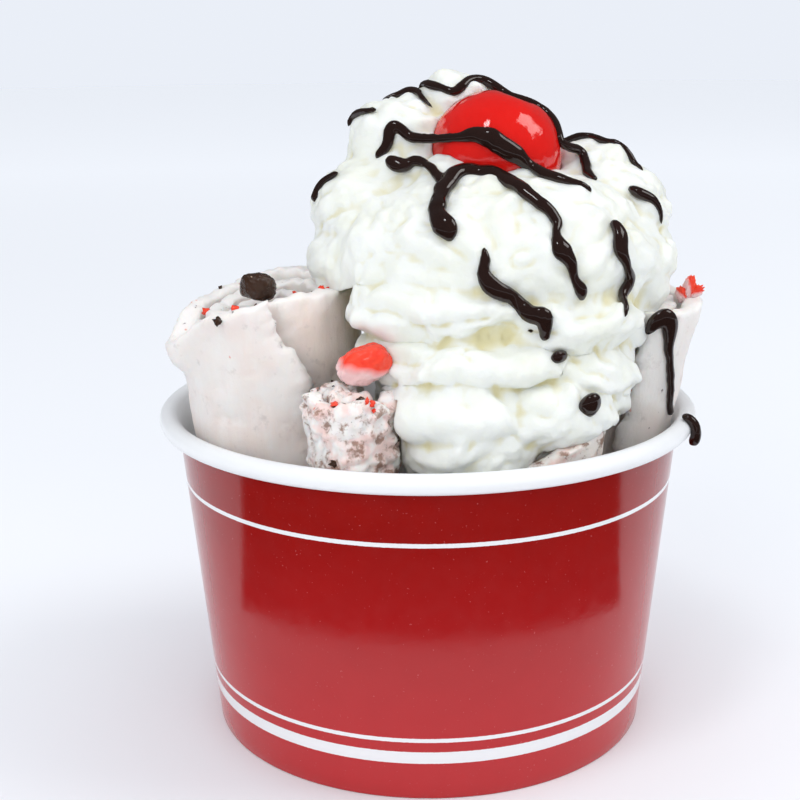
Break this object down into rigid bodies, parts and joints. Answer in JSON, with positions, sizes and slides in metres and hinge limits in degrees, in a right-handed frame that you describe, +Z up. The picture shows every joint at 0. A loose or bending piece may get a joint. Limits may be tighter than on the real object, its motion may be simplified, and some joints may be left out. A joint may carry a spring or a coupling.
{
  "type": "hot fudge sundae in a paper cup",
  "caption": "Rolled ice cream standing in a round paper cup, heaped with whipped cream, a cherry and drizzled hot fudge.",
  "frame": {"origin": "centre of the cup's foot, on the surface that it stands on", "axes": "+Z up along the cup's axis, -Y towards the front of the sundae, +X to its right as seen from the front"},
  "size_m": [0.1001, 0.1, 0.1209],
  "materials": {
    "printed_paper": "glossy printed",
    "white_paper": "smooth coated",
    "ice_cream": "soft, scraped",
    "whipped_cream": "soft satin",
    "cherry": "wet gloss",
    "strawberry": "moist",
    "cookie": "crumbly",
    "fudge": "wet gloss"
  },
  "bodies": {
    "root": {"cup": "printed_paper", "cup_base": "white_paper", "ice_cream_roll_left": "ice_cream", "ice_cream_roll_front_left": "ice_cream", "ice_cream_roll_front_right": "ice_cream", "ice_cream_roll_right": "ice_cream", "ice_cream_roll_back_right": "ice_cream", "ice_cream_roll_back": "ice_cream", "ice_cream_roll_back_left": "ice_cream", "whipped_cream": "whipped_cream", "cherry": "cherry", "strawberry_piece_front": "strawberry", "strawberry_piece_right": "strawberry", "cookie_chunk": "cookie"}
  },
  "joints": []
}
